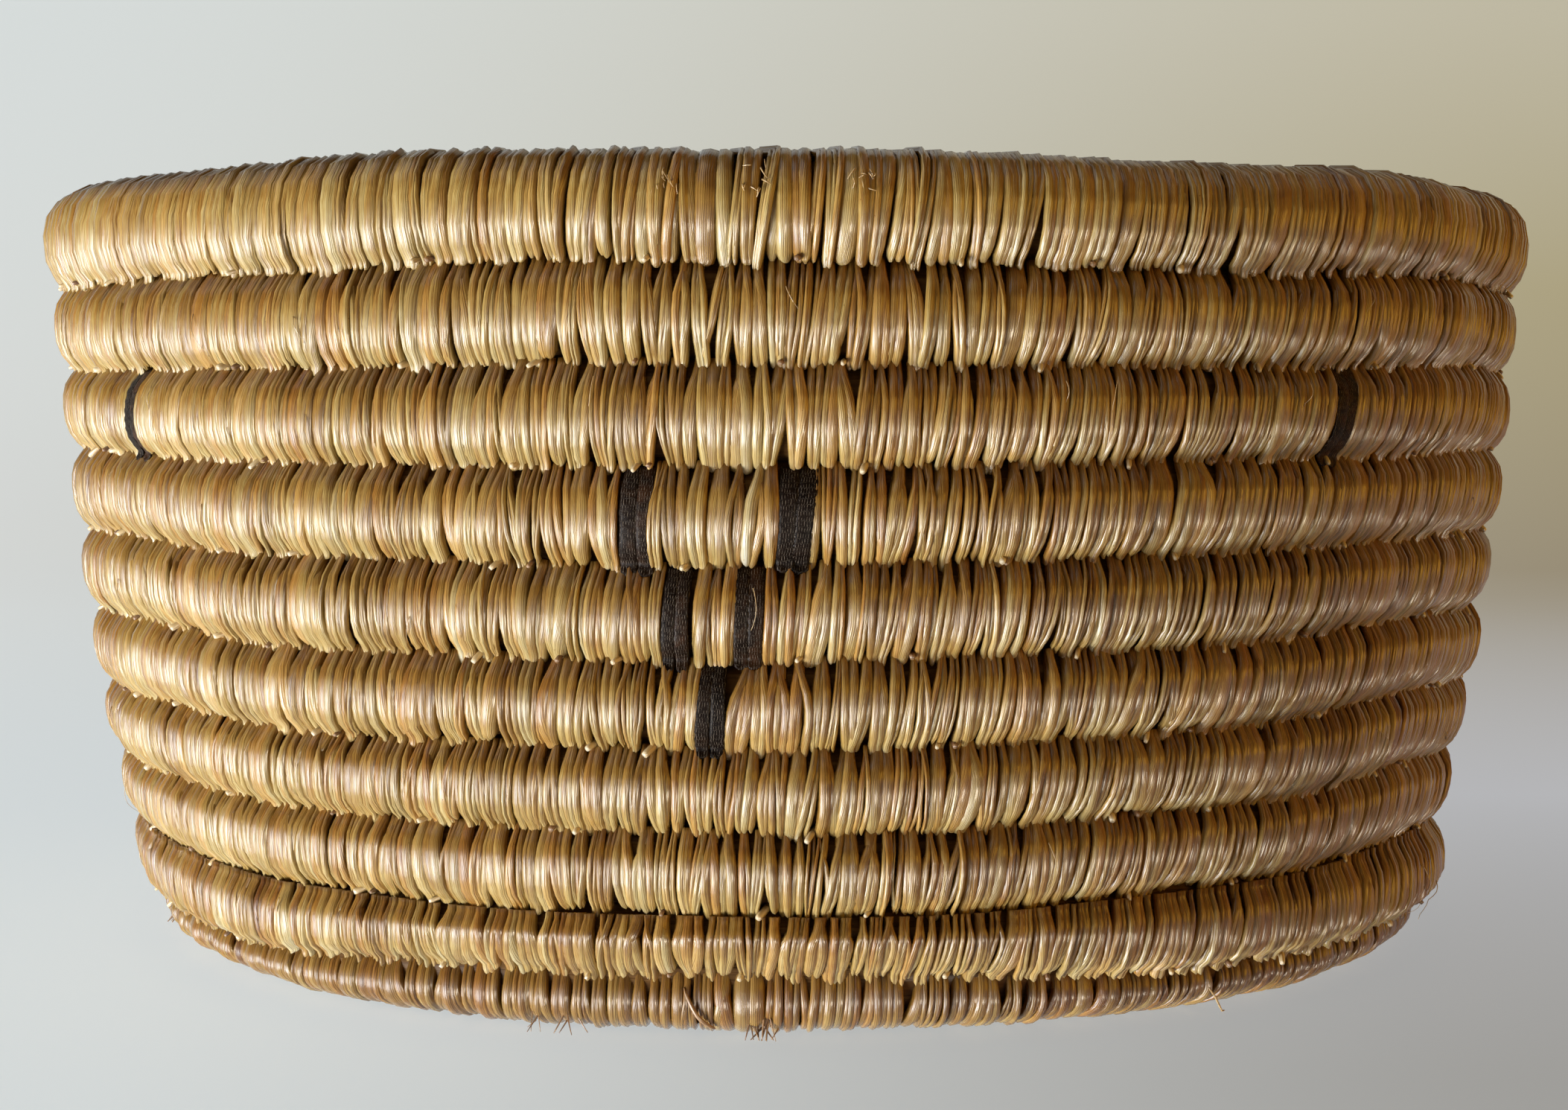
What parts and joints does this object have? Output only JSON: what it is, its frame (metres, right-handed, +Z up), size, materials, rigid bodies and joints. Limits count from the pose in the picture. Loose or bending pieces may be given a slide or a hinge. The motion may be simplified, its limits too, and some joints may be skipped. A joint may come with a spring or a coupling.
{
  "type": "coiled basket",
  "caption": "Round open basket of coiled, closely stitched grass with a small pattern of dark strips round the wall.",
  "frame": {"origin": "middle of the base, on the surface the basket stands on", "axes": "+Z up along the basket's axis, the front with the middle V of dark strips towards -Y, +X to the right seen from the front"},
  "size_m": [0.2489, 0.2478, 0.1206],
  "materials": {
    "straw_stitches": "satin dried grass strands",
    "bundle_grass": "matt dried grass bundle",
    "dark_strip": "satin, finely cracked dark strip"
  },
  "bodies": {
    "root": {"foundation_coil": "bundle_grass", "stitched_base_round_01": "straw_stitches", "stitched_base_round_02": "straw_stitches", "stitched_base_round_03": "straw_stitches", "stitched_base_round_04": "straw_stitches", "stitched_base_round_05": "straw_stitches", "stitched_base_round_06": "straw_stitches", "stitched_base_round_07": "straw_stitches", "stitched_base_round_08": "straw_stitches", "stitched_base_round_09": "straw_stitches", "stitched_base_round_10": "straw_stitches", "stitched_rim_course": "straw_stitches", "stitched_wall_course_02": "straw_stitches", "stitched_wall_course_03": "straw_stitches", "stitched_wall_course_04": "straw_stitches", "stitched_wall_course_05": "straw_stitches", "stitched_wall_course_06": "straw_stitches", "stitched_wall_course_07": "straw_stitches", "stitched_wall_course_08": "straw_stitches", "stitched_wall_course_09": "straw_stitches", "dark_front_upper_left": "dark_strip", "dark_front_upper_right": "dark_strip", "dark_front_lower_left": "dark_strip", "dark_front_lower_right": "dark_strip", "dark_front_point": "dark_strip", "dark_right_upper_left": "dark_strip", "dark_right_upper_right": "dark_strip", "dark_right_lower_left": "dark_strip", "dark_right_lower_right": "dark_strip", "dark_right_point": "dark_strip", "dark_back_upper_left": "dark_strip", "dark_back_upper_right": "dark_strip", "dark_back_lower_left": "dark_strip", "dark_back_lower_right": "dark_strip", "dark_back_point": "dark_strip", "dark_left_upper_left": "dark_strip", "dark_left_upper_right": "dark_strip", "dark_left_lower_left": "dark_strip", "dark_left_lower_right": "dark_strip", "dark_left_point": "dark_strip", "dark_front_right_bar": "dark_strip", "dark_back_right_bar": "dark_strip", "dark_back_left_bar": "dark_strip", "dark_front_left_bar": "dark_strip"}
  },
  "joints": []
}
